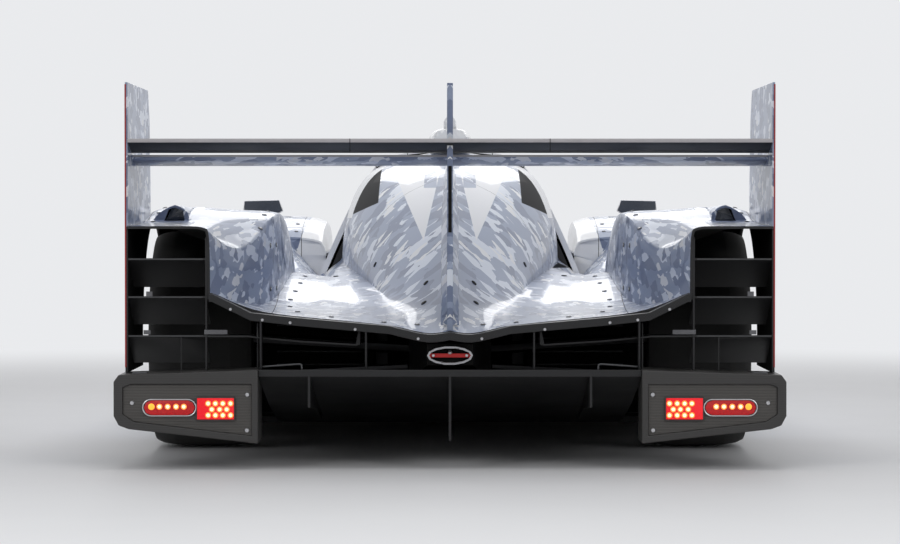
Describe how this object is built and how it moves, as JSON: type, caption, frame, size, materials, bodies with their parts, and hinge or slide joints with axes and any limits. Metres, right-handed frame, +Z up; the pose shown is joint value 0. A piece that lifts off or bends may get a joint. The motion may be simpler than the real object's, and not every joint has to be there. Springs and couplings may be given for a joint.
{
  "type": "closed-cockpit sports prototype race car",
  "caption": "Low closed-cockpit endurance race car with rear wing, fin, louvred tail, diffuser, gullwing doors, steered front wheels and free-rolling wheels.",
  "frame": {"origin": "on the floor, at the middle of the car's length and width", "axes": "+Y forward towards the nose, +X to the car's right, +Z up"},
  "size_m": [2, 5.1, 1.156],
  "materials": {
    "livery": "gloss steel-blue splinter camouflage on carbon panels",
    "white": "gloss white",
    "carbon": "satin black carbon",
    "pod": "dark warm grey, fine woven",
    "window": "dark tinted",
    "tyre": "slick rubber",
    "rim": "satin black",
    "metal": "machined",
    "seat": "black lining",
    "lamp": "red and clear lenses on a dark ribbed plate"
  },
  "bodies": {
    "root": {"dashboard": "carbon", "diffuser": "carbon", "endplate_left": "livery", "endplate_right": "livery", "engine": "metal", "engine_cover": "livery", "fin": "livery", "floor": "carbon", "front_fender_left": "livery", "front_fender_right": "livery", "front_suspension_left": "metal", "front_suspension_right": "metal", "gearbox": "metal", "headlamp_left": "window", "headlamp_right": "window", "lamp_pod_left": "pod", "lamp_pod_right": "pod", "lamps_left": "lamp", "lamps_right": "lamp", "louvres_left": "carbon", "louvres_right": "carbon", "mirror_left": "carbon", "mirror_right": "carbon", "nose": "livery", "rear_fender_left": "livery", "rear_fender_right": "livery", "rear_suspension_left": "metal", "rear_suspension_right": "metal", "roof": "white", "roof_scoop": "livery", "seat": "seat", "sidepod_left": "livery", "sidepod_right": "livery", "splitter": "carbon", "tail_lip": "carbon", "tow_eye": "metal", "tub": "carbon", "windscreen": "window", "wing_flap": "livery", "wing_main": "livery"},
    "left_door": {"door_left": "livery", "door_glass_left": "window"},
    "right_door": {"door_right": "livery", "door_glass_right": "window"},
    "left_knuckle": {"knuckle_left": "metal"},
    "right_knuckle": {"knuckle_right": "metal"},
    "wheel_front_left": {"tyre_front_left": "tyre", "rim_front_left": "rim"},
    "wheel_front_right": {"tyre_front_right": "tyre", "rim_front_right": "rim"},
    "wheel_rear_left": {"tyre_rear_left": "tyre", "rim_rear_left": "rim"},
    "wheel_rear_right": {"tyre_rear_right": "tyre", "rim_rear_right": "rim"}
  },
  "joints": [
    {"name": "steer_left", "type": "hinge", "parent": "root", "child": "left_knuckle", "pos_m": [-0.73, 1.528, 0.355], "axis": [0, 0, 1], "range_deg": [-16, 16]},
    {"name": "steer_right", "type": "hinge", "parent": "root", "child": "right_knuckle", "pos_m": [0.73, 1.528, 0.355], "axis": [0, 0, 1], "range_deg": [-16, 16]},
    {"name": "spin_front_left", "type": "hinge", "parent": "left_knuckle", "child": "wheel_front_left", "pos_m": [-0.805, 1.528, 0.355], "axis": [1, 0, 0], "continuous": true},
    {"name": "spin_front_right", "type": "hinge", "parent": "right_knuckle", "child": "wheel_front_right", "pos_m": [0.805, 1.528, 0.355], "axis": [1, 0, 0], "continuous": true},
    {"name": "spin_rear_left", "type": "hinge", "parent": "root", "child": "wheel_rear_left", "pos_m": [-0.792, -1.62, 0.355], "axis": [1, 0, 0], "continuous": true},
    {"name": "spin_rear_right", "type": "hinge", "parent": "root", "child": "wheel_rear_right", "pos_m": [0.792, -1.62, 0.355], "axis": [1, 0, 0], "continuous": true},
    {"name": "open_left_door", "type": "hinge", "parent": "root", "child": "left_door", "pos_m": [-0.304, 0.352, 0.923], "axis": [-0.2212, 0.8849, -0.4099], "range_deg": [0, 65]},
    {"name": "open_right_door", "type": "hinge", "parent": "root", "child": "right_door", "pos_m": [0.304, 0.352, 0.923], "axis": [-0.2212, -0.8849, 0.4099], "range_deg": [0, 65]}
  ],
  "couplings": [
    {"joint": "steer_right", "follows": "steer_left", "ratio": 1}
  ]
}
